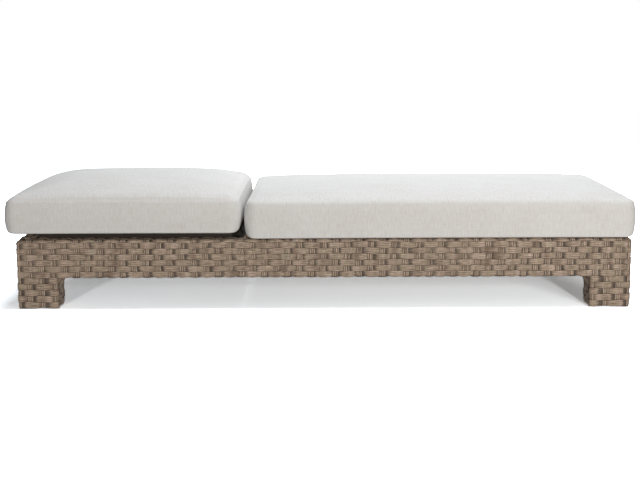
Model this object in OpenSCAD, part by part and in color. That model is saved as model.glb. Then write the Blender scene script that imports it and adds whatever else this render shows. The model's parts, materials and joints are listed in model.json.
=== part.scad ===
// Outdoor chaise longue: a low woven frame, a reclining backrest on a notched prop, two loose cushions.
// Units are millimetres. X runs from the head end to the foot end, Y across it, Z up from the floor.
// The origin lies on the floor under the middle of the whole length.
// Right and left are those of a person lying on it, so the right side faces -Y.

/* [Frame] */
// Length of the woven frame
frame_l = 2032; // [1850:1:2250]
// Width of the woven frame
frame_w = 760; // [660:1:900]
// Height of the rails' underside above the floor
leg_h = 102; // [70:1:180]
// Height of the woven rails
rail_h = 130; // [122:1:170]
// Thickness of the woven strands over the tubes
weave_t = 8; // [5:0.5:12]
// Width of the flat rail tubes
rail_tube_w = 50; // [40:1:60]
// Height of the flat rail tubes
rail_tube_h = 25; // [20:1:30]
// Wall of every tube
tube_wall = 2; // [1.5:0.1:3]
// Side of the square cross tubes and of the short struts
cross_tube = 25; // [20:1:28]
// Side of the square posts that join the rails at each corner
corner_post = 40; // [30:1:50]

/* [Legs] */
// Size of a leg along the frame
leg_l = 138; // [100:1:170]
// Size of a leg across the frame
leg_d = 110; // [96:1:150]
// Side of the square posts inside a leg
leg_post = 20; // [16:1:25]
// Height of the flat bars that join a leg's posts
leg_bar_h = 20; // [12:1:30]
// Thickness of the flat bars that join a leg's posts
leg_bar_t = 4; // [3:0.5:6]
// Height of a glide under a leg
glide_h = 3; // [2:0.5:10]
// Side of a glide's foot
glide_w = 24; // [20:1:30]
// Length of a glide's plug inside its post
glide_plug_l = 22; // [12:1:35]

/* [Seat deck] */
// Number of cross tubes under the woven seat deck
deck_tubes = 5; // [3:1:8]
// Gap along the frame between the hinge axis and the seat deck
deck_gap = 16; // [14:1:24]

/* [Backrest] */
// Distance of the hinge axis from the frame's head end
hinge_from_head = 735; // [710:1:780]
// Gap between the backrest and the frame's rails, at the sides and the head
back_gap = 5; // [3:0.5:8]
// Width of the backrest's tubes
back_tube_w = 20; // [16:1:24]
// Height of the backrest's tubes
back_tube_h = 16; // [16:0.5:20]
// Distance from the hinge axis to the backrest's first tube
lug_reach = 24; // [20:1:30]
// Distance from the backrest's side to the middle of a hinge lug
hinge_in = 67; // [50:1:80]
// Thickness of a hinge lug and of a prop arm
lug_t = 8; // [6:0.5:10]
// Thickness of the plates on both sides of a lug or an arm
ear_t = 4; // [3:0.5:6]
// Side play of a lug or an arm between its plates
side_play = 0.3; // [0.2:0.05:0.5]
// Radius of the hinge and prop bolts
bolt_r = 4; // [3:0.25:4.5]
// Radial clearance of a bolt in its holes
bolt_fit = 0.05; // [0.02:0.01:0.09]
// Height of the rubber bumpers that the lowered backrest lies on
bumper_h = 1.8; // [1:0.1:4]
// Gap between the bumpers and the lowered backrest
bumper_gap = 0.2; // [0.1:0.05:0.5]
// Distance along the backrest from the prop pivots to its upper brace tube
brace_past_pivot = 190; // [180:1:240]
// Gap between the head rail and the cross tube that stops the lowered backrest
stop_gap = 12; // [10:1:16]

/* [Prop and racks] */
// Length of the prop's arms, and distance of their pivots from the hinge axis
prop_l = 300; // [285:1:305]
// Slope of the racks down towards the head, in degrees
rack_slope = 3; // [2.5:0.1:3.5]
// Height of a prop arm
arm_h = 14; // [11:0.5:15]
// Distance from the backrest's side to the middle of a prop arm
arm_in = 117; // [105:1:140]
// Gap between a prop pivot and the tube that carries its plates
pivot_gap = 20; // [18:1:24]
// Radius of the prop's foot bar
bar_r = 6; // [5:0.5:7]
// Radius of the eye around the foot bar
bar_eye_r = 10; // [9:0.5:12]
// Height at which the foot bar passes over the teeth
ride_gap = 0.5; // [0.3:0.1:1]
// Distance from the backrest's side to the middle of a rack's plate
rack_in = 77; // [60:1:90]
// Thickness of a rack
rack_t = 4; // [3:0.5:5]
// Width of a rack's foot flange
rack_flange_w = 25; // [20:1:30]
// Depth of a rack's notches
notch_depth = 10; // [8:0.5:12]
// Length of the ramp out of each notch
ramp_l = 26; // [18:1:34]
// Depth of the rack bearers' top below the rail tubes' top
bearer_drop = 49; // [46:1:54]
// How far a rack reaches past the folded prop's foot bar
rack_past_bar = 4; // [0:1:10]
// Distance of each bearer from the end of the racks that it carries
bearer_in = 36; // [20:1:60]
// Radius of the rack screws
screw_r = 2.5; // [2:0.25:3]

/* [Cushions] */
// How far the back cushion hangs over the frame's head end
head_over = 39; // [10:1:60]
// How far the seat cushion hangs over the frame's foot end
foot_over = 15; // [0:1:40]
// How far both cushions' sides lie inside the frame's sides
cushion_in = 0; // [0:1:20]
// How far the back cushion's end lies past the hinge axis
back_past_hinge = 8; // [0:1:10]
// Gap between the two cushions
cushion_gap = 11; // [10:1:20]
// Height of the back cushion's seam above its underside
back_seam_h = 100; // [85:1:125]
// Rise of the back cushion's crown above its seam
back_rise = 60; // [30:1:66]
// Height of the seat cushion's seam above its underside
seat_seam_h = 113; // [85:1:125]
// Rise of the seat cushion's crown above its seam
seat_rise = 36; // [8:1:42]
// Radius of a cushion's corners seen from above
cushion_corner = 40; // [20:1:50]
// Radius of a cushion's lower edges
cushion_edge = 26; // [10:1:28]
// How far a cushion's sides are drawn in between its corners
cushion_pull = 2; // [2:0.5:10]
// How far a cushion's sides swell out at half their height
cushion_swell = 4; // [2:0.5:8]
// Clearance under a cushion
cushion_lift = 0.3; // [0.2:0.05:0.5]

/* [Hidden] */
$fn = 48;

// Places along the frame
head_x = head_over - (frame_l + head_over + foot_over) / 2;
foot_x = head_x + frame_l;
head_in = head_x + weave_t + rail_tube_w;
foot_in = foot_x - weave_t - rail_tube_w;
hinge_x = head_x + hinge_from_head;
stop_x = head_in + stop_gap;
deck_x = hinge_x + deck_gap;

// Places across the frame
half_w = frame_w / 2;
rail_in = half_w - weave_t - rail_tube_w;
back_half = rail_in - back_gap;
hinge_y = back_half - hinge_in;
arm_y = back_half - arm_in;
rack_y = back_half - rack_in;

// Heights
rail_top = leg_h + rail_h;
tube_top = rail_top - weave_t;
tube_bottom = leg_h + weave_t;
back_bottom = tube_top + bumper_h + bumper_gap;
hinge_z = back_bottom + back_tube_h / 2;
back_top = back_bottom + back_tube_h;
bearer_top = tube_top - bearer_drop;

// Reclining positions of the backrest in degrees, each with its notch
rest_angles = [20, 35, 48, 60];
// The foot bar moves on a straight line through the hinge axis; this is its distance at a recline
function bar_distance(recline) = 2 * prop_l * cos(recline + rack_slope);
// A point beside that line: a distance from the hinge axis and a depth below the line
function rack_point(distance, depth) = [
    hinge_x - distance * cos(rack_slope) + depth * sin(rack_slope),
    hinge_z - distance * sin(rack_slope) - depth * cos(rack_slope)
];
bar_at_rest = rack_point(bar_distance(0), 0);
pivot_x = hinge_x - prop_l;
arm_tilt = asin((hinge_z - bar_at_rest[1]) / prop_l);

// Small parts
bolt_head_r = 1.6 * bolt_r;
bolt_head_h = 0.8 * bolt_r;
screw_head_r = 1.9 * screw_r;
screw_head_h = 1.2 * screw_r;
screw_past_wall = 6;
screw_l = rack_t + tube_wall + screw_past_wall;
bumper_size = [14, back_tube_w];
plug_play = 0.1;
bar_past_rack = 12;
strut_margin = 60;
rack_past_ramp = 8;
rack_wall_play = 0.5;
ear_drop = 1;
plate_drop = 0.5;

// Colours
weave_colour = "#a08c78";
tube_colour = "#6f6153";
steel_colour = "#b9bcc0";
plastic_colour = "#2a2826";
cushion_colour = "#eeece6";

// Joins

module both_sides() {
    children();
    mirror([0, 1, 0]) children();
}

// A square tube from one corner, with its length along one axis
module tube_x(size) {
    difference() {
        cube(size);
        translate([-1, tube_wall, tube_wall])
            cube([size[0] + 2, size[1] - 2 * tube_wall, size[2] - 2 * tube_wall]);
    }
}

module tube_y(size) {
    difference() {
        cube(size);
        translate([tube_wall, -1, tube_wall])
            cube([size[0] - 2 * tube_wall, size[1] + 2, size[2] - 2 * tube_wall]);
    }
}

module tube_z(size) {
    difference() {
        cube(size);
        translate([tube_wall, tube_wall, -1])
            cube([size[0] - 2 * tube_wall, size[1] - 2 * tube_wall, size[2] + 2]);
    }
}

// A cylinder along Y between two places
module rod_y(x, z, from, to, radius, sides = $fn) {
    translate([x, to, z])
        rotate([90, 0, 0])
            cylinder(h = to - from, r = radius, $fn = sides);
}

// Welded tube frame

module side_rail(z) {
    color(tube_colour)
        translate([head_x + weave_t, -half_w + weave_t, z])
            tube_x([frame_l - 2 * weave_t, rail_tube_w, rail_tube_h]);
}

module end_rail(x, z) {
    color(tube_colour)
        translate([x, -rail_in, z])
            tube_y([rail_tube_w, 2 * rail_in, rail_tube_h]);
}

module cross_bar(x, z) {
    color(tube_colour)
        translate([x, -rail_in, z])
            tube_y([cross_tube, 2 * rail_in, cross_tube]);
}

strut_z = tube_bottom + rail_tube_h;
strut_h = tube_top - rail_tube_h - strut_z;

module corner_posts() {
    color(tube_colour)
        both_sides()
            for (x = [head_x + weave_t, foot_x - weave_t - corner_post])
                translate([x, -half_w + weave_t, strut_z])
                    tube_z([corner_post, corner_post, strut_h]);
}

rack_head = bar_distance(0) + rack_past_bar;
rack_tail = bar_distance(rest_angles[len(rest_angles) - 1]) - bar_r - ramp_l - rack_past_ramp;
bearer_xs = [hinge_x - rack_head + bearer_in, hinge_x - rack_tail - bearer_in];
seat_strut_from = hinge_x;
seat_strut_to = foot_x - leg_l - strut_margin;
strut_xs = concat(bearer_xs, [for (i = [0:2]) seat_strut_from + i * (seat_strut_to - seat_strut_from) / 2]);

module side_struts() {
    color(tube_colour)
        both_sides()
            for (x = strut_xs)
                translate([x - cross_tube / 2, -half_w + weave_t, strut_z])
                    tube_z([cross_tube, rail_tube_w, strut_h]);
}

deck_first = deck_x;
deck_last = foot_in - cross_tube;

module deck_cross_tubes() {
    for (i = [0:deck_tubes - 1])
        cross_bar(deck_first + i * (deck_last - deck_first) / (deck_tubes - 1), tube_top - cross_tube);
}

module hinge_cross_tube() {
    cross_bar(hinge_x - cross_tube / 2, tube_top - cross_tube);
}

module stop_cross_tube() {
    cross_bar(stop_x, tube_top - cross_tube);
}

screw_y = rack_y + rack_flange_w / 2;

module rack_bearers() {
    for (x = bearer_xs)
        difference() {
            cross_bar(x - cross_tube / 2, bearer_top - cross_tube);
            for (y = [-screw_y, screw_y])
                translate([x, y, bearer_top - tube_wall - 1])
                    cylinder(h = tube_wall + 2, r = screw_r + bolt_fit);
        }
}

// Legs, drawn for the head end's right corner and mirrored to the other three

module leg_frame() {
    post_h = tube_bottom - glide_h;
    inner = [leg_l - 2 * weave_t, leg_d - 2 * weave_t];
    color(tube_colour)
        translate([head_x + weave_t, -half_w + weave_t, glide_h]) {
            for (x = [0, inner[0] - leg_post], y = [0, inner[1] - leg_post])
                translate([x, y, 0])
                    tube_z([leg_post, leg_post, post_h]);
            for (z = [0, post_h - leg_bar_h]) {
                for (y = [0, inner[1] - leg_bar_t])
                    translate([leg_post, y, z])
                        cube([inner[0] - 2 * leg_post, leg_bar_t, leg_bar_h]);
                for (x = [0, inner[0] - leg_bar_t])
                    translate([x, leg_post, z])
                        cube([leg_bar_t, inner[1] - 2 * leg_post, leg_bar_h]);
            }
        }
}

// A sleeve around the leg, closed on top where no rail covers it
module leg_weave() {
    top = tube_bottom + weave_t;
    color(weave_colour)
        difference() {
            translate([head_x, -half_w, glide_h])
                cube([leg_l, leg_d, top - glide_h]);
            translate([head_x + weave_t, -half_w + weave_t, glide_h - 1])
                cube([leg_l - 2 * weave_t, leg_d - 2 * weave_t, tube_bottom - glide_h + 1]);
            translate([head_x - 1, -half_w - 1, leg_h])
                cube([leg_l + 2, weave_t + 1, top]);
            translate([head_x - 1, -half_w - 1, leg_h])
                cube([weave_t + 1, leg_d + 2, top]);
            translate([head_x - 1, -half_w - 1, tube_bottom])
                cube([leg_l + 2, half_w - rail_in + 1, top]);
            translate([head_x - 1, -half_w - 1, tube_bottom])
                cube([head_in - head_x + 1, leg_d + 2, top]);
        }
}

// Moves a leg's piece from the head end to the foot end
module at_foot() {
    translate([head_x + foot_x, 0, 0])
        mirror([1, 0, 0])
            children();
}

module at_left() {
    mirror([0, 1, 0])
        children();
}

module leg_glide() {
    plug = leg_post - 2 * tube_wall - 2 * plug_play;
    middle = [head_x + weave_t + leg_post / 2, -half_w + weave_t + leg_post / 2];
    color(plastic_colour)
        translate(middle) {
            linear_extrude(glide_h)
                square(glide_w, center = true);
            translate([0, 0, glide_h / 2])
                linear_extrude(glide_h / 2 + glide_plug_l)
                    square(plug, center = true);
        }
}

module leg_glides() {
    both_sides() {
        leg_glide();
        at_foot() leg_glide();
    }
}

// Woven skins over the rails

module side_rail_weave() {
    color(weave_colour) {
        translate([head_x, -half_w, leg_h])
            cube([frame_l, weave_t, rail_h]);
        translate([head_x, -half_w, tube_top])
            cube([frame_l, half_w - rail_in, weave_t]);
        translate([head_x + leg_l, -half_w, leg_h])
            cube([frame_l - 2 * leg_l, half_w - rail_in, weave_t]);
    }
}

module head_rail_weave() {
    outer_half = half_w - weave_t;
    under_half = half_w - leg_d;
    color(weave_colour) {
        translate([head_x, -outer_half, leg_h])
            cube([weave_t, 2 * outer_half, rail_h - weave_t]);
        translate([head_x, -rail_in, leg_h])
            cube([weave_t, 2 * rail_in, rail_h]);
        translate([head_x, -rail_in, tube_top])
            cube([head_in - head_x, 2 * rail_in, weave_t]);
        translate([head_x, -under_half, leg_h])
            cube([head_in - head_x, 2 * under_half, weave_t]);
    }
}

module seat_deck_weave() {
    color(weave_colour)
        translate([deck_x, -rail_in, tube_top])
            cube([foot_in - deck_x, 2 * rail_in, weave_t]);
}

// Hinge on the frame

ear_r = hinge_z - tube_top - ear_drop;

module hinge_ears() {
    gap_half = lug_t / 2 + side_play;
    color(steel_colour)
        both_sides()
            for (y = [hinge_y - gap_half - ear_t, hinge_y + gap_half])
                difference() {
                    union() {
                        rod_y(hinge_x, hinge_z, y, y + ear_t, ear_r);
                        translate([hinge_x - ear_r, y, tube_top])
                            cube([2 * ear_r, ear_t, hinge_z - tube_top]);
                    }
                    rod_y(hinge_x, hinge_z, y - 1, y + ear_t + 1, bolt_r + bolt_fit);
                }
}

// A bolt along Y with a round head on one side and a nut on the other
module cross_bolt(x, z, y) {
    reach = lug_t / 2 + side_play + ear_t;
    color(steel_colour) {
        rod_y(x, z, y - reach - bolt_head_h, y + reach + bolt_head_h, bolt_r);
        rod_y(x, z, y - reach - bolt_head_h, y - reach, bolt_head_r);
        rod_y(x, z, y + reach, y + reach + bolt_head_h, bolt_head_r, 6);
    }
}

module hinge_pins() {
    both_sides() cross_bolt(hinge_x, hinge_z, hinge_y);
}

module backrest_bumpers() {
    color(plastic_colour)
        both_sides()
            translate([stop_x + (cross_tube - bumper_size[0]) / 2, back_half - bumper_size[1], tube_top])
                cube([bumper_size[0], bumper_size[1], bumper_h]);
}

// Notched racks that hold the prop's foot bar

tip_depth = bar_r + ride_gap;

module rack_plate() {
    head_end = rack_point(rack_head, tip_depth);
    tail_end = rack_point(rack_tail, tip_depth);
    teeth = [
        for (recline = rest_angles)
            let (d = bar_distance(recline), wall = d + bar_r + rack_wall_play)
                each [
                    rack_point(wall, tip_depth),
                    rack_point(wall, tip_depth + notch_depth),
                    rack_point(d - bar_r / 2, tip_depth + notch_depth),
                    rack_point(d - bar_r - ramp_l, tip_depth)
                ]
    ];
    polygon(concat([[head_end[0], bearer_top], head_end], teeth, [tail_end, [tail_end[0], bearer_top]]));
}

module right_rack() {
    head_end = rack_point(rack_head, tip_depth);
    tail_end = rack_point(rack_tail, tip_depth);
    color(steel_colour)
        difference() {
            union() {
                translate([0, -rack_y + rack_t / 2, 0])
                    rotate([90, 0, 0])
                        linear_extrude(rack_t)
                            rack_plate();
                translate([head_end[0], -rack_y - rack_t / 2 - rack_flange_w + rack_t, bearer_top])
                    cube([tail_end[0] - head_end[0], rack_flange_w, rack_t]);
            }
            for (x = bearer_xs)
                translate([x, -screw_y, bearer_top - 1])
                    cylinder(h = rack_t + 2, r = screw_r + bolt_fit);
        }
}

module rack_screws() {
    color(steel_colour)
        both_sides()
            for (x = bearer_xs)
                translate([x, screw_y, bearer_top + rack_t]) {
                    cylinder(h = screw_head_h, r = screw_head_r);
                    translate([0, 0, -screw_l])
                        cylinder(h = screw_l + screw_head_h / 2, r = screw_r);
                }
}

// Backrest frame

back_end_x = head_in + back_gap;
back_start_x = hinge_x - lug_reach;

module backrest_right_tube() {
    color(tube_colour)
        translate([back_end_x, -back_half, back_bottom])
            tube_x([back_start_x - back_end_x, back_tube_w, back_tube_h]);
}

// A tube across the backrest, with its hinge side at a distance from the hinge axis
module backrest_cross_tube(distance) {
    half = back_half - back_tube_w;
    color(tube_colour)
        translate([hinge_x - distance - back_tube_w, -half, back_bottom])
            tube_y([back_tube_w, 2 * half, back_tube_h]);
}

module backrest_weave() {
    color(weave_colour)
        translate([back_end_x, -back_half, back_top])
            cube([back_start_x - back_end_x, 2 * back_half, weave_t]);
}

module backrest_hinge_lugs() {
    color(steel_colour)
        both_sides()
            difference() {
                union() {
                    rod_y(hinge_x, hinge_z, hinge_y - lug_t / 2, hinge_y + lug_t / 2, back_tube_h / 2);
                    translate([back_start_x, hinge_y - lug_t / 2, back_bottom])
                        cube([lug_reach, lug_t, back_tube_h]);
                }
                rod_y(hinge_x, hinge_z, hinge_y - lug_t, hinge_y + lug_t, bolt_r + bolt_fit);
            }
}

plate_r = back_tube_h / 2 - plate_drop;

module prop_pivot_plates() {
    gap_half = lug_t / 2 + side_play;
    color(steel_colour)
        both_sides()
            for (y = [arm_y - gap_half - ear_t, arm_y + gap_half])
                difference() {
                    union() {
                        rod_y(pivot_x, hinge_z, y, y + ear_t, plate_r);
                        translate([pivot_x, y, hinge_z - plate_r])
                            cube([pivot_gap, ear_t, 2 * plate_r]);
                    }
                    rod_y(pivot_x, hinge_z, y - 1, y + ear_t + 1, bolt_r + bolt_fit);
                }
}

module prop_pivot_bolts() {
    both_sides() cross_bolt(pivot_x, hinge_z, arm_y);
}

// Prop, drawn as it lies folded under the backrest

module prop_right_arm() {
    color(steel_colour)
        difference() {
            union() {
                rod_y(pivot_x, hinge_z, -arm_y - lug_t / 2, -arm_y + lug_t / 2, arm_h / 2);
                translate([pivot_x, -arm_y - lug_t / 2, hinge_z])
                    rotate([0, -arm_tilt, 0])
                        translate([-prop_l, 0, -arm_h / 2])
                            cube([prop_l, lug_t, arm_h]);
                rod_y(bar_at_rest[0], bar_at_rest[1], -arm_y - lug_t / 2, -arm_y + lug_t / 2, bar_eye_r);
            }
            rod_y(pivot_x, hinge_z, -arm_y - lug_t, -arm_y + lug_t, bolt_r + bolt_fit);
            rod_y(bar_at_rest[0], bar_at_rest[1], -arm_y - lug_t, -arm_y + lug_t, bar_r + bolt_fit);
        }
}

module prop_foot_bar() {
    reach = rack_y + bar_past_rack;
    color(steel_colour)
        rod_y(bar_at_rest[0], bar_at_rest[1], -reach, reach, bar_r);
}

// Cushions: rings of points from the underside up over the seam to the crown

arc_steps = 6;
side_steps = 8;
crown_steps = [0.96, 0.9, 0.8, 0.65, 0.35];
crown_power = 4;
crown_start = 0.52;
corner_sink = 0.45;
corner_power = 3;
shoulder = 30;
corner_least = 6;

// Outline seen from above: corner arcs, and sides drawn in between them
function outline(a, b, r, pull) = [
    for (k = [0:3])
        let (
            here = [k == 0 || k == 3 ? a - r : r - a, k < 2 ? b - r : r - b],
            out = [cos(90 * k + 90), sin(90 * k + 90)],
            from = here + r * out,
            run = 2 * (k % 2 == 0 ? a - r : b - r),
            along = run * [-out[1], out[0]]
        )
            each concat(
                [
                    for (i = [0:arc_steps])
                        let (turn = 90 * (k + i / arc_steps))
                            here + r * [cos(turn), sin(turn)]
                ],
                [
                    for (j = [1:side_steps - 1])
                        let (way = j / side_steps)
                            from + way * along - pull * sin(180 * way) * out
                ]
            )
];

// Profile of a side: how far each ring lies inside the fullest outline, its height, and how much of the
// crown's start it has risen. The side rolls in from well below the seam.
function side_profile(seam_h) = [
    [cushion_swell + cushion_edge, 0, 0],
    [cushion_swell + 0.5 * cushion_edge, 0.13 * cushion_edge, 0],
    [cushion_swell + 0.13 * cushion_edge, 0.5 * cushion_edge, 0],
    [0.6 * cushion_swell, cushion_edge, 0],
    [0, seam_h / 2, 0],
    [0.5 * cushion_swell, seam_h - 0.75 * shoulder, 0],
    [0.13 * shoulder, seam_h - 0.35 * shoulder, 0],
    [0.27 * shoulder, seam_h, 0],
    [0.62 * shoulder, seam_h, 0.65],
    [1.2 * shoulder, seam_h, 1]
];

module cushion(length, seam_h, rise) {
    a = length / 2;
    b = half_w - cushion_in;
    // The crown's start at a place; it is lower towards the corners, where the cover is drawn down
    function start(x, y) = crown_start * rise * (1 - corner_sink * pow(abs(x * y) / (a * b), corner_power));
    side_rings = [
        for (p = side_profile(seam_h))
            [for (q = outline(a - p[0], b - p[0], max(cushion_corner - p[0], corner_least), cushion_pull))
                [q[0], q[1], p[1] + p[2] * start(q[0], q[1])]]
    ];
    edge = side_rings[len(side_rings) - 1];
    crown_rings = [
        for (s = crown_steps)
            [for (q = edge)
                let (
                    x = s * q[0], y = s * q[1],
                    fall = (1 - pow(abs(x) / a, crown_power)) * (1 - pow(abs(y) / b, crown_power)),
                    fall_at_edge = (1 - pow(abs(q[0]) / a, crown_power)) * (1 - pow(abs(q[1]) / b, crown_power))
                )
                [x, y, seam_h + start(x, y) + (1 - crown_start) * rise * (fall - fall_at_edge) / (1 - fall_at_edge)]
            ]
    ];
    rings = concat(side_rings, crown_rings);
    n = len(edge);
    points = concat([for (ring = rings) each ring], [[0, 0, 0], [0, 0, seam_h + rise]]);
    low = len(points) - 2;
    high = len(points) - 1;
    walls = [
        for (k = [0:len(rings) - 2], i = [0:n - 1])
            let (j = (i + 1) % n, p = k * n, q = (k + 1) * n)
                each [[p + i, q + i, q + j], [p + i, q + j, p + j]]
    ];
    last = (len(rings) - 1) * n;
    caps = [for (i = [0:n - 1]) let (j = (i + 1) % n) each [[low, i, j], [high, last + j, last + i]]];
    color(cushion_colour)
        polyhedron(points = points, faces = concat(walls, caps), convexity = 4);
}

back_cushion_l = hinge_from_head + head_over + back_past_hinge;
seat_cushion_x = hinge_x + back_past_hinge + cushion_gap;
seat_cushion_l = foot_x + foot_over - seat_cushion_x;

module back_cushion() {
    translate([head_x - head_over + back_cushion_l / 2, 0, back_top + weave_t + cushion_lift])
        cushion(back_cushion_l, back_seam_h, back_rise);
}

module seat_cushion() {
    translate([seat_cushion_x + seat_cushion_l / 2, 0, rail_top + cushion_lift])
        cushion(seat_cushion_l, seat_seam_h, seat_rise);
}

side_rail(tube_top - rail_tube_h);  // right_top_rail
at_left() side_rail(tube_top - rail_tube_h);  // left_top_rail
side_rail(tube_bottom);  // right_bottom_rail
at_left() side_rail(tube_bottom);  // left_bottom_rail
end_rail(head_x + weave_t, tube_top - rail_tube_h);  // head_top_rail
end_rail(foot_in, tube_top - rail_tube_h);  // foot_top_rail
end_rail(head_x + weave_t, tube_bottom);  // head_bottom_rail
end_rail(foot_in, tube_bottom);  // foot_bottom_rail
corner_posts();
side_struts();
deck_cross_tubes();
hinge_cross_tube();
stop_cross_tube();
rack_bearers();
leg_frame();  // head_right_leg_frame
at_left() leg_frame();  // head_left_leg_frame
at_foot() leg_frame();  // foot_right_leg_frame
at_left() at_foot() leg_frame();  // foot_left_leg_frame
leg_weave();  // head_right_leg_weave
at_left() leg_weave();  // head_left_leg_weave
at_foot() leg_weave();  // foot_right_leg_weave
at_left() at_foot() leg_weave();  // foot_left_leg_weave
side_rail_weave();  // right_rail_weave
at_left() side_rail_weave();  // left_rail_weave
head_rail_weave();
at_foot() head_rail_weave();  // foot_rail_weave
seat_deck_weave();
leg_glides();
hinge_ears();
hinge_pins();
backrest_bumpers();
right_rack();
at_left() right_rack();  // left_rack
rack_screws();
seat_cushion();
backrest_right_tube();
at_left() backrest_right_tube();  // backrest_left_tube
backrest_cross_tube(lug_reach);  // backrest_hinge_tube
backrest_cross_tube(hinge_x - back_end_x - back_tube_w);  // backrest_head_tube
backrest_cross_tube(prop_l - pivot_gap - back_tube_w);  // backrest_prop_tube
backrest_cross_tube(prop_l + brace_past_pivot);  // backrest_brace_tube
backrest_hinge_lugs();
prop_pivot_plates();
prop_pivot_bolts();
backrest_weave();
prop_right_arm();
at_left() prop_right_arm();  // prop_left_arm
prop_foot_bar();
back_cushion();
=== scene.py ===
# %% [markdown]
# # A low woven chaise longue
#
# The object is an outdoor chaise longue: a frame of welded tube inside a woven skin, a backrest that
# reclines on a notched prop, and two thick loose cushions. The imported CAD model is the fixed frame.
# Blender adds what a solid can't show: every strand of the weave, the soft cushions and the finishes.
# All lengths here are in metres, X runs from head to foot, Y across and Z up.

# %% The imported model
import json
import math

import bmesh
import bpy
import numpy as np
from mathutils import Matrix, Vector
from mathutils.bvhtree import BVHTree


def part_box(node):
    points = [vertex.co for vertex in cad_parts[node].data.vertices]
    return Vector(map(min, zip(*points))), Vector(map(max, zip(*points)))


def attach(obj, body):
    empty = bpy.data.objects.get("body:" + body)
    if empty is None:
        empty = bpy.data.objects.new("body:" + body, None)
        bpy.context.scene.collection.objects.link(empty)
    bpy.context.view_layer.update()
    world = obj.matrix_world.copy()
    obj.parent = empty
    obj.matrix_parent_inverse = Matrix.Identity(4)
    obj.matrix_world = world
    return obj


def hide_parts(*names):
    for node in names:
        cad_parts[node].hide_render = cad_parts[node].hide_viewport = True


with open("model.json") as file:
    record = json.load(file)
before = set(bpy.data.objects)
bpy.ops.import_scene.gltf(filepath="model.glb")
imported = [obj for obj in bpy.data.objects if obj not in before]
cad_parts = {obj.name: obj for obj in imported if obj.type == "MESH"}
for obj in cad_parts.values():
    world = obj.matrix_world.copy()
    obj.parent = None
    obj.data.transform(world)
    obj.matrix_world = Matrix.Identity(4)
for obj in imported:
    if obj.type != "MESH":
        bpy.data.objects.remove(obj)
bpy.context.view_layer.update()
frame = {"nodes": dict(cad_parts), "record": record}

bpy.ops.object.select_all(action="DESELECT")

# %% [markdown]
# ## Camera
#
# The camera comes first, because every later choice is judged through it. A camera fitted to the
# photograph's outline stands 3.8 m in front of the long side, half a metre above the cushions, and
# looks down by just under ten degrees. The long lens keeps the rails almost parallel.

# %% Camera
CAMERA_AT = Vector((0.016, -4.171, 0.875))
YAW, PITCH, ROLL = math.radians(-0.233), math.radians(9.67), math.radians(-0.271)

bpy.ops.object.camera_add()
camera = bpy.context.object
camera.data.lens = 65.91
camera.data.sensor_width = 36
camera.matrix_world = (
    Matrix.Translation(CAMERA_AT)
    @ Matrix.Rotation(-YAW, 4, "Z")
    @ Matrix.Rotation(math.radians(90) - PITCH, 4, "X")
    @ Matrix.Rotation(ROLL, 4, "Z")
)
bpy.context.scene.camera = camera
bpy.context.scene.view_settings.view_transform = "Standard"
print("camera at", tuple(round(c, 3) for c in CAMERA_AT))

# %% [markdown]
# ## Colours and nodes
#
# Colours are written as the hex values that a colour picker shows. A shader calculates with linear
# light, so one function turns them. A second small function adds a node, sets it and links it, and
# a few more call it for what comes up often, which keeps each material short enough to read.

# %% Helpers for materials
def linear(code):
    """The linear colour of an sRGB hex value such as #a08c78."""
    channels = [int(code[i : i + 2], 16) / 255 for i in (1, 3, 5)]
    return tuple(c / 12.92 if c <= 0.04045 else ((c + 0.055) / 1.055) ** 2.4 for c in channels) + (1.0,)


def add_node(tree, kind, inputs=None, **settings):
    """A new node. Each input is given a value, or linked when it is given another node's output."""
    node = tree.nodes.new("ShaderNode" + kind)
    for name, value in settings.items():
        setattr(node, name, value)
    for socket, source in (inputs or {}).items():
        if isinstance(source, bpy.types.NodeSocket):
            tree.links.new(source, node.inputs[socket])
        else:
            node.inputs[socket].default_value = source
    return node


def new_material(name, **constants):
    """An empty material with a Principled shader, and that shader's constant values."""
    material = bpy.data.materials.new(name)
    material.use_nodes = True
    shader = material.node_tree.nodes["Principled BSDF"]
    for socket, value in constants.items():
        shader.inputs[socket.replace("_", " ")].default_value = value
    return material, material.node_tree, shader


def colour_ramp(tree, fac, stops):
    """A ramp through hex colours, given as place: colour."""
    ramp = add_node(tree, "ValToRGB", {"Fac": fac})
    marks = ramp.color_ramp.elements
    for i, (place, code) in enumerate(sorted(stops.items())):
        mark = marks[i] if i < 2 else marks.new(place)
        mark.position, mark.color = place, linear(code)
    return ramp.outputs["Color"]


def calc(tree, operation, *values):
    """The output of a Math node that has these values, or other nodes' outputs, as its inputs."""
    return add_node(tree, "Math", dict(enumerate(values)), operation=operation).outputs[0]


def remapped(tree, value, start=(0, 1), end=(0, 1), blend="LINEAR"):
    """The output of a Map Range node, which carries a value from one pair of limits to another."""
    limits = dict(zip(("From Min", "From Max", "To Min", "To Max"), (*start, *end)))
    return add_node(tree, "MapRange", {"Value": value, **limits}, interpolation_type=blend).outputs[0]


def stretched_noise(tree, u, v, u_scale, v_scale, detail, roughness):
    """Noise on two coordinates with a scale for each, which draws streaks."""
    at = add_node(tree, "CombineXYZ", {0: calc(tree, "MULTIPLY", u, u_scale), 1: calc(tree, "MULTIPLY", v, v_scale)})
    inputs = {"Vector": at.outputs[0], "Scale": 1, "Detail": detail, "Roughness": roughness}
    return add_node(tree, "TexNoise", inputs, noise_dimensions="2D").outputs[0]


def uv_axes(tree, name):
    """The two coordinates of a UV map."""
    axes = add_node(tree, "SeparateXYZ", {0: add_node(tree, "UVMap", uv_map=name).outputs[0]}).outputs
    return axes[0], axes[1]


def bumped(tree, shader, height, strength, distance):
    """Gives a shader a fine relief by a height."""
    bump = add_node(tree, "Bump", {"Height": height, "Strength": strength, "Distance": distance})
    tree.links.new(bump.outputs[0], shader.inputs["Normal"])


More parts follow.
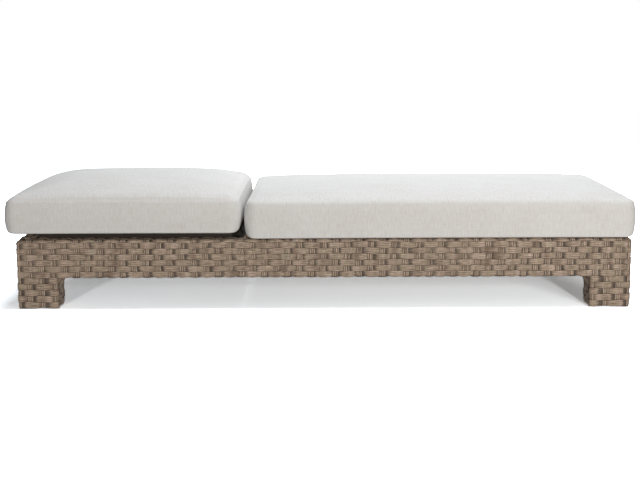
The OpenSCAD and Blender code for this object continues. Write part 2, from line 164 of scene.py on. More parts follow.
print("white is", linear("#ffffff")[:3])

# %% [markdown]
# ## Floor, backdrop and light
#
# The photograph is a studio picture: a white ground, light from overhead that leaves the cushion tops
# brightest, an even pale shadow under the frame, and a crisp darker one behind each front leg. A wide
# softbox hangs overhead, a smaller one brightens the foot end, and two small lamps stand far in front
# at ten degrees above the floor. Their light runs in under the rail and throws the legs' shadows. The
# world is white only for the camera and for reflections, and nearly dark for lighting. The floor
# lights the object as a plain grey floor would. For the camera its own shading is drawn much
# brighter, which leaves the lit ground white and the shadow as pale as the photographed one.

# %% World
world = bpy.data.worlds.new("white_studio")
bpy.context.scene.world = world
world.use_nodes = True
tree = world.node_tree
seen_by = add_node(tree, "LightPath").outputs
direct = calc(tree, "MAXIMUM", seen_by["Is Camera Ray"], seen_by["Is Glossy Ray"])
direct = calc(tree, "MAXIMUM", direct, seen_by["Is Transmission Ray"])
background = tree.nodes["Background"]
background.inputs["Color"].default_value = (1, 1, 1, 1)
tree.links.new(remapped(tree, direct, end=(0.06, 1.0)), background.inputs["Strength"])

# %% Floor
FLOOR_SIZE = 9
SHADOW_SHARE = (4.1, 4.37, 4.67, 1)  # how strongly the camera sees the floor's shading, blued against the lamps
STEADY_SHARE = 0.09  # white that the camera sees on top of it
bpy.ops.mesh.primitive_plane_add(size=1)
floor = bpy.context.object
floor.name = "studio_floor"
bpy.ops.object.mode_set(mode="EDIT")
bpy.ops.transform.resize(value=(FLOOR_SIZE, FLOOR_SIZE, 1))
bpy.ops.object.mode_set(mode="OBJECT")

paint, tree, shader = new_material("white_studio_floor", Base_Color=linear("#909090"), Roughness=0.9)
seen_by = add_node(tree, "LightPath").outputs
mirrored = calc(tree, "MAXIMUM", seen_by["Is Glossy Ray"], seen_by["Is Transmission Ray"])
plain_white = add_node(tree, "Emission", {"Color": (1, 1, 1, 1), "Strength": 1.0}).outputs[0]
lighting = add_node(tree, "MixShader", {0: mirrored, 1: shader.outputs[0], 2: plain_white}).outputs[0]
shaded = add_node(tree, "BsdfDiffuse", {"Color": SHADOW_SHARE}).outputs[0]
steady = add_node(tree, "Emission", {"Color": (1, 1, 1, 1), "Strength": STEADY_SHARE}).outputs[0]
drawn = add_node(tree, "AddShader", {0: shaded, 1: steady}).outputs[0]
choice = add_node(tree, "MixShader", {0: seen_by["Is Camera Ray"], 1: lighting, 2: drawn}).outputs[0]
tree.links.new(choice, tree.nodes["Material Output"].inputs["Surface"])
floor.data.materials.append(paint)

# %% Lamps
def softbox(name, at, target, size, watts, colour):
    """A rectangular studio lamp that faces a point."""
    bpy.ops.object.light_add(type="AREA", location=at)
    lamp = bpy.context.object
    lamp.name = name
    lamp.data.shape = "RECTANGLE"
    lamp.data.size, lamp.data.size_y = size
    lamp.data.energy, lamp.data.color = watts, linear(colour)[:3]
    lamp.rotation_euler = (Vector(target) - Vector(at)).to_track_quat("-Z", "Y").to_euler()
    return lamp


lamps = [
    softbox("overhead_softbox", (0.5, 1.45, 2.7), (0.5, 1.45, 0), (3.0, 4.0), 111, "#f9fcff"),
    softbox("right_softbox", (1.7, -3.2, 0.75), (0.8, -0.3, 0.2), (1.2, 0.5), 28, "#fffbf5"),
    softbox("far_left_spot", (-2.9, -12, 2.2), (-0.8, 0, 0.1), (0.4, 0.4), 260, "#fffbf5"),
    softbox("far_right_spot", (2.2, -12, 2.2), (0.8, 0, 0.1), (0.4, 0.4), 325, "#fffbf5"),
]
print("lamps:", {lamp.name: lamp.data.energy for lamp in lamps})

# %% [markdown]
# ## Woven strands
#
# The real skin is woven by hand over the tubes from flat extruded strands of outdoor wicker. Bands
# about 22 mm wide run along the rails and go over one group of upright strands and under the next,
# and each upright group is three narrow strands side by side. A bump map can't give the notched
# outline of such a weave or the dark slits in it, so every strand is a mesh. One flat strand is
# modelled with the usual edit-mode tools, and copies of it are laid along the paths of the weave. No
# operator weaves, so a copy's points are moved to their places by calculation.

# %% Two helpers for meshes
def read(items, key, kind=float, width=1):
    """One property of every point, corner, edge or face of a mesh, as an array."""
    values = np.empty(width * len(items), kind)
    items.foreach_get(key, values)
    return values if width == 1 else values.reshape(-1, width)


def only(piece):
    """Selects one object alone and makes it active, for the operators."""
    bpy.ops.object.select_all(action="DESELECT")
    piece.select_set(True)
    bpy.context.view_layer.objects.active = piece


# %% One flat strand, 1 m long
BAND_W, RIB_W, STRAND_T = 0.0222, 0.0064, 0.0022
ROUNDING = 0.34  # of the long edges, as a share of the thickness
BAND_CUTS, RIB_CUTS = 6, 3  # cuts of a band between two upright groups, and of a rib between two bands
BEND_CUTS = 5  # lengthwise cuts of a band that bends over an edge


def flat_strand(width, segments, lengthwise_cuts):
    """A straight strand with rounded long edges, cut across, and lengthwise too where it must bend."""
    bpy.ops.mesh.primitive_cube_add(size=1, location=(0.5, 0, 0), scale=(1, width, STRAND_T))
    strand = bpy.context.object
    bpy.ops.object.transform_apply(location=True, rotation=True, scale=True)
    bpy.ops.object.mode_set(mode="EDIT")
    for cut, axis, least in (("round", 0, 0.5), ("across", 0, 0.5), ("lengthwise", 1, width / 2)):
        if cut == "lengthwise" and not lengthwise_cuts:
            continue
        shape = bmesh.from_edit_mesh(strand.data)
        shape.select_mode = {"EDGE"}
        for edge in shape.edges:
            edge.select_set(abs(edge.verts[0].co[axis] - edge.verts[1].co[axis]) > least)
        bmesh.update_edit_mesh(strand.data)
        if cut == "round":
            bpy.ops.mesh.bevel(offset=ROUNDING * STRAND_T, segments=1, affect="EDGES")
        else:
            bpy.ops.mesh.subdivide(number_cuts=segments - 1 if cut == "across" else lengthwise_cuts)
    bpy.ops.object.mode_set(mode="OBJECT")
    mesh = strand.data
    arrays = {
        "places": read(mesh.vertices, "co", width=3),
        "corners": read(mesh.loops, "vertex_index", int),
        "starts": read(mesh.polygons, "loop_start", int),
        "totals": read(mesh.polygons, "loop_total", int),
    }
    bpy.data.objects.remove(strand, do_unlink=True)
    return arrays


shapes = {}


def strand_shape(kind, steps):
    """The straight strand for a band, a bent band or a rib with this many steps, modelled once and kept."""
    if (kind, steps) not in shapes:
        width = RIB_W if kind == "rib" else BAND_W
        shapes[kind, steps] = flat_strand(width, steps, BEND_CUTS if kind == "bent band" else 0)
    return shapes[kind, steps]


print("a band's points:", len(strand_shape("band", BAND_CUTS)["places"]))

# %% [markdown]
# A strand's path is given as three numbers: how far it runs, where it lies beside that, and how far
# it stands in front of the middle of the skin. The weave is one rule: a band stands out where its
# number and the upright's number make an even sum, and dips where they make an odd one, and the
# uprights do the opposite. A little seeded unevenness keeps the weave from looking printed.

# %% Laying a strand
BAND_WAVE, RIB_WAVE = 0.0026, 0.0009
DRIFT, LEAN, LIFT, NARROWING = 0.0007, 0.0006, 0.0003, 0.04  # how much the seeded unevenness changes
RIB_SHIFTS = (-0.0065, 0, 0.0065)  # the three strands of an upright group
PAINTED_SIDE_LIGHT_SHIFT = 0.13  # moves the painted dip shade towards one end of each band, a painted side light
unevenness = np.random.default_rng(7)


def crest(phase):
    """The rise and fall of a strand over neighbours at whole numbers, flatter on top than a sine."""
    wave = np.cos(np.pi * phase)
    return wave * (1.5 - 0.5 * wave**2)


def wander(steps, least, most):
    """A slow random drift along a strand."""
    knots = unevenness.uniform(-1, 1, steps)
    return lambda way: np.interp(way, np.linspace(least, most, steps), knots)


def band(skin, start, end, row, centre, index, width=1.0, kind="band"):
    """A band along the skin from start to end. index gives the number of the upright at a place."""
    steps = max(8, round(BAND_CUTS * abs(float(index(end) - index(start)))))
    shape = strand_shape(kind, steps)
    way, across, lift = shape["places"].T
    s = start + (end - start) * way
    over = crest(index(s) + row)
    drift = wander(steps // 4 + 3, start, end)
    narrow = 0.9 + 0.1 * np.clip(0.5 + 0.62 * over, 0, 1)  # squeezed where the band dips
    narrow = narrow * (1 + NARROWING * wander(steps // 3 + 3, start, end)(s)) * width
    v = centre + across * narrow + DRIFT * drift(s)
    out = BAND_WAVE * over + lift + LIFT * wander(steps // 3 + 3, start, end)(s)
    return {
        "shape": shape,
        "places": skin(s, v, out),
        "along": s + unevenness.uniform(0, 90),
        "across": 3 * (across / BAND_W + 0.5),
        "abreast": np.full_like(s, 3.0),
        # painted shade where the band dips under an upright, shifted towards one end as painted side light
        "dip": np.clip(0.5 - 0.5 * crest(index(s) + row - PAINTED_SIDE_LIGHT_SHIFT), 0, 1),
    }


def rib(skin, start, end, number, centre, index, shift):
    """One of the three narrow strands of an upright group, across the bands from start to end."""
    steps = max(4, round(RIB_CUTS * abs(float(index(end) - index(start)))))
    shape = strand_shape("rib", steps)
    way, across, lift = shape["places"].T
    v = start + (end - start) * way
    over = -crest(index(v) + number)
    lean = wander(4, start, end)
    s = centre + shift * (1 - 0.08 * over) + across + LEAN * lean(v)
    out = -RIB_WAVE + 2 * RIB_WAVE * np.clip(0.5 + 0.5 * over, 0, 1) + lift
    return {
        "shape": shape,
        "places": skin(s, v, out),
        "along": v + unevenness.uniform(0, 90),
        "across": across / RIB_W + 0.5,
        "abreast": np.full_like(s, 1.0),
        # painted shade where the strand dips under a band
        "dip": np.clip(0.55 - 0.55 * over, 0, 1),
    }


def rib_group(*path):
    """The three strands of one upright group."""
    return [rib(*path, shift) for shift in RIB_SHIFTS]


# %% From strands to a piece
def woven_piece(name, strands, node, body):
    """Joins laid strands into one mesh, with their UV map, and puts it in place of a CAD node."""

    def joined(key):
        return np.concatenate([strand[key] for strand in strands])

    used = [strand["shape"] for strand in strands]
    firsts = np.cumsum([0] + [len(shape["places"]) for shape in used])
    loop_firsts = np.cumsum([0] + [len(shape["corners"]) for shape in used])
    corners = np.concatenate([shape["corners"] + first for shape, first in zip(used, firsts)])
    starts = np.concatenate([shape["starts"] + first for shape, first in zip(used, loop_firsts)])
    mesh = bpy.data.meshes.new(name)
    mesh.vertices.add(int(firsts[-1]))
    mesh.vertices.foreach_set("co", joined("places").ravel())
    mesh.loops.add(len(corners))
    mesh.loops.foreach_set("vertex_index", corners)
    mesh.polygons.add(len(starts))
    mesh.polygons.foreach_set("loop_start", starts)
    mesh.polygons.foreach_set("loop_total", np.concatenate([shape["totals"] for shape in used]))
    mesh.update(calc_edges=True)
    uv = np.stack([joined("along"), joined("across")], 1)
    mesh.uv_layers.new(name="Strand").data.foreach_set("uv", uv[corners].ravel())
    for key in ("dip", "abreast"):
        mesh.attributes.new(key, "FLOAT", "POINT").data.foreach_set("value", joined(key))
    piece = bpy.data.objects.new(name, mesh)
    bpy.context.collection.objects.link(piece)
    only(piece)
    bpy.ops.object.mode_set(mode="EDIT")
    bpy.ops.mesh.select_all(action="SELECT")
    bpy.ops.mesh.normals_make_consistent(inside=False)
    bpy.ops.object.mode_set(mode="OBJECT")
    bpy.ops.object.shade_smooth_by_angle(angle=math.radians(50))
    piece.select_set(False)
    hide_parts(node)
    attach(piece, body)
    print(name, "strands:", len(strands), "faces:", len(mesh.polygons))
    return piece


# %% [markdown]
# ## The skin of the rails
#
# Seen in section the skin is a C: a flange over the top tube, the outer face, and a flange under the
# bottom tube, with softly rounded edges. Seen from above the bands turn round the frame's corners.
# The middle of the skin lies 4 mm inside its outer face, so a band that swings 2.6 mm to either side
# never leaves the thickness that the CAD model gives it.

# %% Sizes of the skin, read from the CAD nodes
rail_low, rail_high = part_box("right_rail_weave")
leg_low, leg_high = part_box("head_right_leg_weave")
HEAD_X, FOOT_X = rail_low.x, rail_high.x
HALF_L, HALF_W = (FOOT_X - HEAD_X) / 2, -rail_low.y
MIDDLE_X = (FOOT_X + HEAD_X) / 2
TOP, BOTTOM = rail_high.z, rail_low.z
FLANGE = rail_high.y - rail_low.y
LEG_L, LEG_D, LEG_FOOT = leg_high.x - leg_low.x, leg_high.y - leg_low.y, leg_low.z
SKIN = 0.004  # from the outer face to the middle of the skin
EDGE_R, LOWER_R, CORNER_R = 0.010, 0.008, 0.013
EDGE_HALF = (EDGE_R - SKIN) * math.pi / 4
LOWER_ARC = (LOWER_R - SKIN) * math.pi / 2
CORNER_ARC = (CORNER_R - SKIN) * math.pi / 2
LOWER_EDGE = EDGE_HALF + (TOP - BOTTOM) - EDGE_R - LOWER_R
CORNER_DROP, DROP_RUN, DROP_DEPTH = 0.012, 0.032, 0.05  # the top sinks towards each corner of the frame
ROW_SWAY, UPRIGHT_SWAY = 0.0016, 0.0020  # how far hand weaving lets rows and uprights wander
STEADY_END, SWAY_RUN = 0.03, 0.1  # none near a corner, more over the next stretch
UNDER_RUN = 0.012  # beside a leg, where the lower edge begins to turn under
CLEAR = 0.001  # how far strands end inside the edges of their CAD node
LONG_COUNT, SHORT_COUNT = 26, 10  # upright groups from the middle of a side to its corner
print("rail", round(TOP - BOTTOM, 3), "high, frame", round(2 * HALF_L, 3), "by", round(2 * HALF_W, 3))


# %% Section and plan of a rail's skin
def section(v, out, under):
    """Inset and height at v, measured down the skin from the middle of the top edge."""
    r = EDGE_R - SKIN + out
    turn = np.clip(math.pi / 4 - v / (EDGE_R - SKIN), 0, math.pi / 2)
    inset = EDGE_R - r * np.cos(turn) + np.clip(-EDGE_HALF - v, 0, None)
    height = TOP - EDGE_R + r * np.sin(turn) - np.clip(v - EDGE_HALF, 0, None)
    past = np.clip(v - LOWER_EDGE, 0, None) * under
    r = LOWER_R - SKIN + out
    turn = np.clip(past / (LOWER_R - SKIN), 0, math.pi / 2)
    inset = inset + r * (1 - np.cos(turn)) + np.clip(past - LOWER_ARC, 0, None)
    height = height + past - r * np.sin(turn)
    return inset, height


def plan(s, inset, half):
    """Place along and behind a side of the frame at s, measured from the side's middle."""
    past = np.clip(np.abs(s) - (half - CORNER_R), 0, None)
    turn = np.clip(past / (CORNER_R - SKIN), 0, math.pi / 2)
    along = np.minimum(np.abs(s), half - CORNER_R) + (CORNER_R - inset) * np.sin(turn)
    behind = CORNER_R - (CORNER_R - inset) * np.cos(turn) + np.clip(past - CORNER_ARC, 0, None)
    return np.sign(s) * along, behind


def to_corner(half):
    """From the middle of a side, along its skin, to the middle of its corner."""
    return half - CORNER_R + CORNER_ARC / 2


def rail_skin(side):
    """The skin of one rail as a function of how far along, how far down and how far out."""
    half, leg = (HALF_L, LEG_L) if side in ("right", "left") else (HALF_W, LEG_D)

    def skin(s, v, out):
        under = np.clip((half - leg - np.abs(s)) / UNDER_RUN, 0, 1)
        loose = np.clip((half - STEADY_END - np.abs(s)) / SWAY_RUN, 0, 1)
        v = v + ROW_SWAY * loose * np.sin(s / 0.047 + v / 0.016 + half) * np.sin(s / 0.19 + 0.6)
        s = s + UPRIGHT_SWAY * loose * np.sin(v / 0.021 + s / 0.11)
        inset, height = section(v, out, under)
        near_corner = np.clip((np.abs(s) - half + DROP_RUN) / DROP_RUN, 0, 1)
        height = height - CORNER_DROP * near_corner**2 * np.clip((height - TOP + DROP_DEPTH) / DROP_DEPTH, 0, 1)
        along, behind = plan(s, inset, half)
        x, y = {
            "right": (MIDDLE_X + along, behind - HALF_W),
            "left": (MIDDLE_X + along, HALF_W - behind),
            "head": (HEAD_X + behind, along),
            "foot": (FOOT_X - behind, along),
        }[side]
        return np.stack([x, y, height], 1)

    return skin


# %% Rows and uprights of a rail
ROW = 0.0195  # from one band to the next
FIRST_ROW = 0.0147  # from the middle of the top edge to the first band on the outer face
FACE_ROWS = range(0, 7)
BENT_ROWS = (0, 6)  # the bands that bend over an edge
ROW_CENTRES = {row: FIRST_ROW + ROW * (row - 1) for row in FACE_ROWS}
TOP_ROWS = {-2: (-0.0430, 0.88), -1: (-0.0246, 0.9)}  # centre and width of a band on the upper flange
UNDER_ROWS = {7: (0.0077, 0.9), 8: (0.0254, 0.86), 9: (0.0421, 0.74)}  # the same, from the lower edge's end
UPRIGHT_STRAY = 0.0016
TOP_END = 0.007  # from the end of a long side to its upper bands
COVERED_START = -0.0035  # of an upright whose flange would lie under another rail's


def row_number(v):
    return 1 + (v - FIRST_ROW) / ROW


def woven_rail(name, side):
    """One rail's skin: bands along its face and flanges, and the upright groups that cross them."""
    skin = rail_skin(side)
    long_side = side in ("right", "left")
    half, leg, count = (HALF_L, LEG_L, LONG_COUNT) if long_side else (HALF_W, LEG_D, SHORT_COUNT)
    turn = to_corner(half)
    numbers = np.arange(-count, count + 1)
    stray = unevenness.uniform(-UPRIGHT_STRAY, UPRIGHT_STRAY, len(numbers)) * (np.abs(numbers) < count - 2)
    uprights = numbers * (turn / count) + stray

    def upright_number(s):
        return np.interp(s, uprights, numbers)

    strands = []
    for row in FACE_ROWS:
        kind = "bent band" if row in BENT_ROWS else "band"
        strands.append(band(skin, -turn, turn, row, ROW_CENTRES[row], upright_number, kind=kind))
    top_reach = half - TOP_END if long_side else half - FLANGE - CLEAR / 2
    for row, (centre, width) in TOP_ROWS.items():
        strands.append(band(skin, -top_reach, top_reach, row, centre, upright_number, width))
    under_reach, under_start = half - leg - 2 * CLEAR, LOWER_EDGE + LOWER_ARC
    for row, (centre, width) in UNDER_ROWS.items():
        strands.append(band(skin, -under_reach, under_reach, row, under_start + centre, upright_number, width))
    for number, place in zip(numbers, uprights):
        at_corner = abs(number) == count
        if at_corner and not long_side:
            continue
        covered = at_corner or (not long_side and abs(place) > half - FLANGE - 0.012)
        start = COVERED_START if covered else CLEAR - FLANGE + EDGE_R - EDGE_HALF
        over_leg = abs(place) > half - leg - 0.010
        end = LOWER_EDGE + LOWER_R if over_leg else under_start + FLANGE - LOWER_R - CLEAR
        strands += rib_group(skin, start, end, number, place, row_number)
    return woven_piece(name, strands, side + "_rail_weave", "frame")


wicker_pieces = [woven_rail("woven_" + side + "_rail", side) for side in ("right", "left", "head", "foot")]

# %% [markdown]
# ## The skin of the legs
#
# The rails' uprights run on down the legs, and five more bands go round each leg as closed rings. One
# leg is woven at the head end's right corner. The other three are its mirror images, which keeps the
# rhythm of over and under, because each side of the frame has an even number of uprights.

# %% One leg's ring seen from above
ARC_STEPS = 6  # of the quarter turn at each corner


def ring_table():
    """Places and outward directions round the leg's skin, from the middle of its outer corner."""
    r = CORNER_R - SKIN
    far_x, far_y = LEG_L - CORNER_R, LEG_D - CORNER_R
    centres = [(CORNER_R, CORNER_R), (far_x, CORNER_R), (far_x, far_y), (CORNER_R, far_y)]
    places, outs = [], []
    for corner in range(5):  # the outer corner's two halves come first and last
        first, last = {0: (ARC_STEPS // 2, ARC_STEPS), 4: (0, ARC_STEPS // 2)}.get(corner, (0, ARC_STEPS))
        for step in range(first, last + 1):
            angle = math.pi + math.pi / 2 * (corner + step / ARC_STEPS)
            outs.append((math.cos(angle), math.sin(angle)))
            places.append([c + r * o for c, o in zip(centres[corner % 4], outs[-1])])
    places, outs = np.array(places), np.array(outs)
    lengths = np.linalg.norm(np.diff(places, axis=0), axis=1)
    return np.concatenate([[0], np.cumsum(lengths)]), places, outs


RING_S, RING_PLACES, RING_OUTS = ring_table()
RING = RING_S[-1]


def leg_skin(s, v, out):
    """The leg's skin: s runs round it, v down it as on the rails."""
    s = np.mod(s, RING)
    x, y = (np.interp(s, RING_S, RING_PLACES[:, i]) for i in (0, 1))
    nx, ny = (np.interp(s, RING_S, RING_OUTS[:, i]) for i in (0, 1))
    size = np.hypot(nx, ny)
    height = TOP - EDGE_R - (v - EDGE_HALF)
    return np.stack([HEAD_X + x + out * nx / size, y - HALF_W + out * ny / size, height], 1)


# Twelve uprights round a leg: those on the outer faces stand under the rails' own
face_step, end_step = to_corner(HALF_L) / LONG_COUNT, to_corner(HALF_W) / SHORT_COUNT
long_run = LEG_L - 2 * CORNER_R + CORNER_ARC
short_run = LEG_D - 2 * CORNER_R + CORNER_ARC
ring_uprights = [0, face_step, 2 * face_step, long_run]
ring_uprights += [long_run + short_run / 3, long_run + 2 * short_run / 3, long_run + short_run]
last_two = [RING - 2 * end_step, RING - end_step]
gap = (last_two[0] - ring_uprights[-1]) / 4
ring_uprights += [ring_uprights[-1] + gap * i for i in (1, 2, 3)] + last_two
print("a leg's ring is", round(RING, 4), "round, with", len(ring_uprights), "uprights")


def ring_number(s):
    """The number of the upright at a place, counted through two turns."""
    places = ring_uprights + [RING + place for place in ring_uprights] + [2 * RING]
    return np.interp(s, places, range(len(places)))


# %% One woven leg
LOWEST = FACE_ROWS[-1]  # the lowest row of the rails' faces
LEG_ROWS = range(LOWEST + 1, LOWEST + 6)
LEG_TOP_ROW = LOWEST + 0.5  # the row number where the leg's own bands begin
LEG_V = EDGE_HALF + TOP - EDGE_R  # add -height to get v
LEG_START = ROW_CENTRES[LOWEST] + ROW / 2
LEG_ROW = (LEG_V - LEG_FOOT - LEG_START) / len(LEG_ROWS)
RING_START = long_run + short_run + 0.03  # on the leg's hidden inner side
RING_END = RING_START + RING + 0.001  # a ring's two ends overlap
INNER_DROP, INNER_WIDTH, INNER_RISE = 0.003, 0.8, 0.014  # of the band on the inner sides


def leg_row_number(v):
    return LEG_TOP_ROW + (v - LEG_START) / LEG_ROW


strands = []
for row in LEG_ROWS:
    centre = LEG_START + (row - LEG_TOP_ROW) * LEG_ROW
    strands.append(band(leg_skin, RING_START, RING_END, row, centre, ring_number, LEG_ROW / ROW))
# The two inner sides rise between the rails to the leg's top
inner_from = long_run + CORNER_ARC / 2 + FLANGE - CORNER_R + CLEAR
inner_to = long_run + short_run + CORNER_ARC / 2 + LEG_L - CORNER_R - FLANGE - CLEAR
strands.append(band(leg_skin, inner_from, inner_to, LOWEST, ROW_CENTRES[LOWEST] + INNER_DROP, ring_number, INNER_WIDTH))
for number, place in enumerate(ring_uprights):
    top_height = BOTTOM + (INNER_RISE if inner_from < place < inner_to else 0.0)
    start, end = LEG_V - top_height, LEG_V - LEG_FOOT - CLEAR
    strands += rib_group(leg_skin, start, end, number, place, leg_row_number)

CAP_BANDS, CAP_GROUPS = 3, 2
CAP_ROW, CAP_STEP = (LEG_D - FLANGE) / CAP_BANDS, (LEG_L - FLANGE) / CAP_GROUPS


def cap_skin(s, v, out):
    """The leg's flat top between the rails."""
    height = np.full_like(s, leg_high.z - SKIN) + out
    return np.stack([HEAD_X + FLANGE + s, v + FLANGE - HALF_W, height], 1)


def cap_number(s):
    return s / CAP_STEP - 0.5


def cap_row_number(v):
    return v / CAP_ROW - 0.5


for row in range(CAP_BANDS):
    centre = (row + 0.5) * CAP_ROW
    strands.append(band(cap_skin, CLEAR / 2, CAP_GROUPS * CAP_STEP - SKIN, row, centre, cap_number, 0.78))
for number in range(CAP_GROUPS):
    centre = (number + 0.5) * CAP_STEP
    strands += rib_group(cap_skin, CLEAR / 2, CAP_BANDS * CAP_ROW - SKIN, number, centre, cap_row_number)
first_leg = woven_piece("woven_head_right_leg", strands, "head_right_leg_weave", "frame")
wicker_pieces.append(first_leg)


# %% The other three legs
def mirrored_leg(name, node, flip_x, flip_y):
    """A copy of the first leg, with its own mesh, mirrored to another corner."""
    mesh = first_leg.data.copy()
    mesh.name = name
    piece = bpy.data.objects.new(name, mesh)
    bpy.context.collection.objects.link(piece)
    mirror = Matrix.Diagonal((-1 if flip_x else 1, -1 if flip_y else 1, 1, 1))
    mesh.transform(Matrix.Translation((2 * MIDDLE_X if flip_x else 0, 0, 0)) @ mirror)
    if flip_x != flip_y:
        mesh.flip_normals()
    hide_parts(node)
    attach(piece, "frame")
    print(name, "faces:", len(mesh.polygons))
    return piece


wicker_pieces += [
    mirrored_leg("woven_head_left_leg", "head_left_leg_weave", False, True),
    mirrored_leg("woven_foot_right_leg", "foot_right_leg_weave", True, False),
    mirrored_leg("woven_foot_left_leg", "foot_left_leg_weave", True, True),
]

# %% [markdown]
# ## The seat deck and the backrest panel
#
# Both are flat panels of the same weave, stretched over tubes. They hide under the cushions, and the
# backrest panel shows from behind when it is raised. The bands run across and the narrow strands
# along, and both panels use the rails' spacing.

# %% Flat woven panels
PANEL_MARGIN = 0.011  # from its side to the first group


def woven_panel(name, node, body):
    """A flat panel where a CAD node is, with bands across it and narrow strands along it."""
    low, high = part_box(node)
    middle_y, reach = (low.y + high.y) / 2, (high.y - low.y) / 2 - CLEAR
    length = high.x - low.x
    rows = int(length / ROW)
    row_step = (length - CLEAR) / rows
    count = 2 * round(reach / face_step)
    groups = np.linspace(-reach + PANEL_MARGIN, reach - PANEL_MARGIN, count + 1)

    def skin(s, v, out):
        return np.stack([low.x + CLEAR / 2 + v, middle_y + s, (low.z + high.z) / 2 + out], 1)

    def group_number(s):
        return (s - groups[0]) / (groups[1] - groups[0])

    def panel_row(v):
        return v / row_step - 0.5

    strands = [band(skin, -reach, reach, row, (row + 0.5) * row_step, group_number, 0.9) for row in range(rows)]
    for number, place in enumerate(groups):
        strands += rib_group(skin, 0.0, length - CLEAR, number, place, panel_row)
    return woven_piece(name, strands, node, body)


wicker_pieces += [
    woven_panel("woven_seat_deck", "seat_deck_weave", "frame"),
    woven_panel("woven_backrest", "backrest_weave", "backrest"),
]

# %% [markdown]
# ## Wicker
#
# Outdoor wicker is extruded polyethylene, coloured through and embossed with fine lengthwise lines, so
# it has a dull sheen and looks like driftwood. No two strands match: they go from grey-brown to
# slightly pink, yellow or green, and each changes along its length. The strands' UV map gives metres
# along and strand widths across, which lets the lines follow every bend. Shade is painted into the
# colour where a strand dips under another, along the strands' edges and in the grooves between a
# band's strands, and each band is painted darker at one end than the other, as if lit from one side.

# %% Extruded wicker
WICKER_TONES = {0.22: "#836f5e", 0.38: "#9d8978", 0.48: "#b39d8b", 0.57: "#a3927d", 0.67: "#bfa898", 0.8: "#ab9e88"}


def extruded_wicker():
    """Driftwood tones with embossed lines, with painted shade in the grooves, at the edges and where strands dip."""
    material, tree, shader = new_material("extruded_polyethylene_wicker", IOR=1.5)
    along, across = uv_axes(tree, "Strand")
    # One tone lasts about 60 mm, the length of strand that shows between two dips
    tone = {"W": along, "Scale": 17, "Detail": 1.5, "Roughness": 0.6}
    colour = colour_ramp(tree, add_node(tree, "TexNoise", tone, noise_dimensions="1D").outputs[0], WICKER_TONES)
    # Embossed lines, about 2 mm apart across the strand and 30 mm long
    lines = stretched_noise(tree, along, across, 34, 3.4, 3, 0.65)
    line_tone = remapped(tree, lines, (0.3, 0.72), (0.42, 1.45))
    # The valley between two of the three strands of a band, painted darker as shade in the groove
    valley = remapped(tree, calc(tree, "PINGPONG", across, 0.5), (0, 0.2), blend="SMOOTHSTEP")
    painted_valley_shade = remapped(tree, valley, end=(0.82, 1.0))
    # Painted shade where a strand dips under another, darker at one end of each band as painted side light
    dip = add_node(tree, "Attribute", attribute_name="dip").outputs["Fac"]
    painted_dip_shade = remapped(tree, dip, (0.5, 1.0), (1.03, 0.3), "SMOOTHSTEP")
    # Painted shade along the edges of a band of three strands, and a narrower one along an upright's single strand
    abreast = add_node(tree, "Attribute", attribute_name="abreast").outputs["Fac"]
    reach = calc(tree, "MULTIPLY_ADD", abreast, 0.07, 0.13)
    from_edge = calc(tree, "MINIMUM", across, calc(tree, "SUBTRACT", abreast, across))
    painted_edge_shade = remapped(tree, from_edge, (0.04, reach), (0.28, 1.04), "SMOOTHSTEP")
    # The embossed lines, times the painted shade of grooves, edges and dips
    tint = line_tone
    for shade in (painted_valley_shade, painted_edge_shade, painted_dip_shade):
        tint = calc(tree, "MULTIPLY", tint, shade)
    tinted = add_node(tree, "VectorMath", {0: colour, "Scale": tint}, operation="SCALE").outputs[0]
    tree.links.new(tinted, shader.inputs["Base Color"])
    tree.links.new(remapped(tree, lines, end=(0.82, 0.6)), shader.inputs["Roughness"])
    bumped(tree, shader, calc(tree, "ADD", calc(tree, "MULTIPLY", lines, 0.5), valley), 0.9, 0.0009)
    return material


wicker = extruded_wicker()
for piece in wicker_pieces:
    piece.data.materials.append(wicker)

# %% [markdown]
# ## Cushions
#
# Each cushion is a block of foam in a sewn cover. Its top is crowned, its sides swell a little and are
# drawn in between the corners, and one seam runs round its upper edge. The CAD solid has that form, so
# a slightly smaller copy of it is remeshed evenly and blown up as cloth, with its underside held flat
# on what carries it and the seam a little tighter than the rest. The even mesh cuts across the block's
# edges, so the cover is laid on the foam again there. The block's lower edges are round; the weight of
# the foam presses the real ones out squarer, and the seat cushion's hang over the side rails' rounded
# edges, so they are moved out and down. The ridge of the seam is narrower than the mesh could blow up,
# so it is raised last.

# %% Measures of a sewn cover
VOXEL = 0.008
SMALLER = 0.001  # how far the copy shrinks before the cover swells again
MOST_SWELL = 0.0025
CLOTH_STEPS = 20
BASE_HEIGHT = 0.003  # of the part that is held flat
TIGHT_HALF = 0.008  # half of the tight seam's width
RIDGE_RISE, RIDGE_HALF, RIDGE = 0.004, 0.007, 0.0020  # the ridge: its place over that seam, half width and height
RIM, RIM_FADE = 0.045, 0.01  # how near the rim the seam lies, and its fading
PLAN_CORNER, LOWER_EDGE_R = 0.040, 0.026  # the CAD block's radii in plan and along its lower edge
SETTLED_SIDE_R, SETTLED_END_R = 0.007, 0.019
OUTERMOST = 0.004  # the strip along the edge that moves in full
SETTLE_REACH = 0.045  # how far under the cushion its lower edge is pressed out
HANG_REACH, HANG_HEIGHT = 0.03, 0.045  # how far under it and up its side the hanging edge reaches
RAIL_ROUND = 0.009  # the width of the rail's rounded edge


# %% A sewn cushion
def near_seam(places, seam_z, low, high, half_width):
    """1 on the seam round the cushion's upper edge, falling to 0 at a distance from it."""
    x, y, z = places.T
    from_rim = np.minimum.reduce([x - low.x, high.x - x, y - low.y, high.y - y])
    near = np.exp(-(((z - seam_z) / half_width) ** 2))
    return near * np.clip((RIM - from_rim) / RIM_FADE, 0, 1)


def points_of(mesh):
    return read(mesh.vertices, "co", width=3)


def normals_of(mesh):
    return read(mesh.vertices, "normal", width=3)


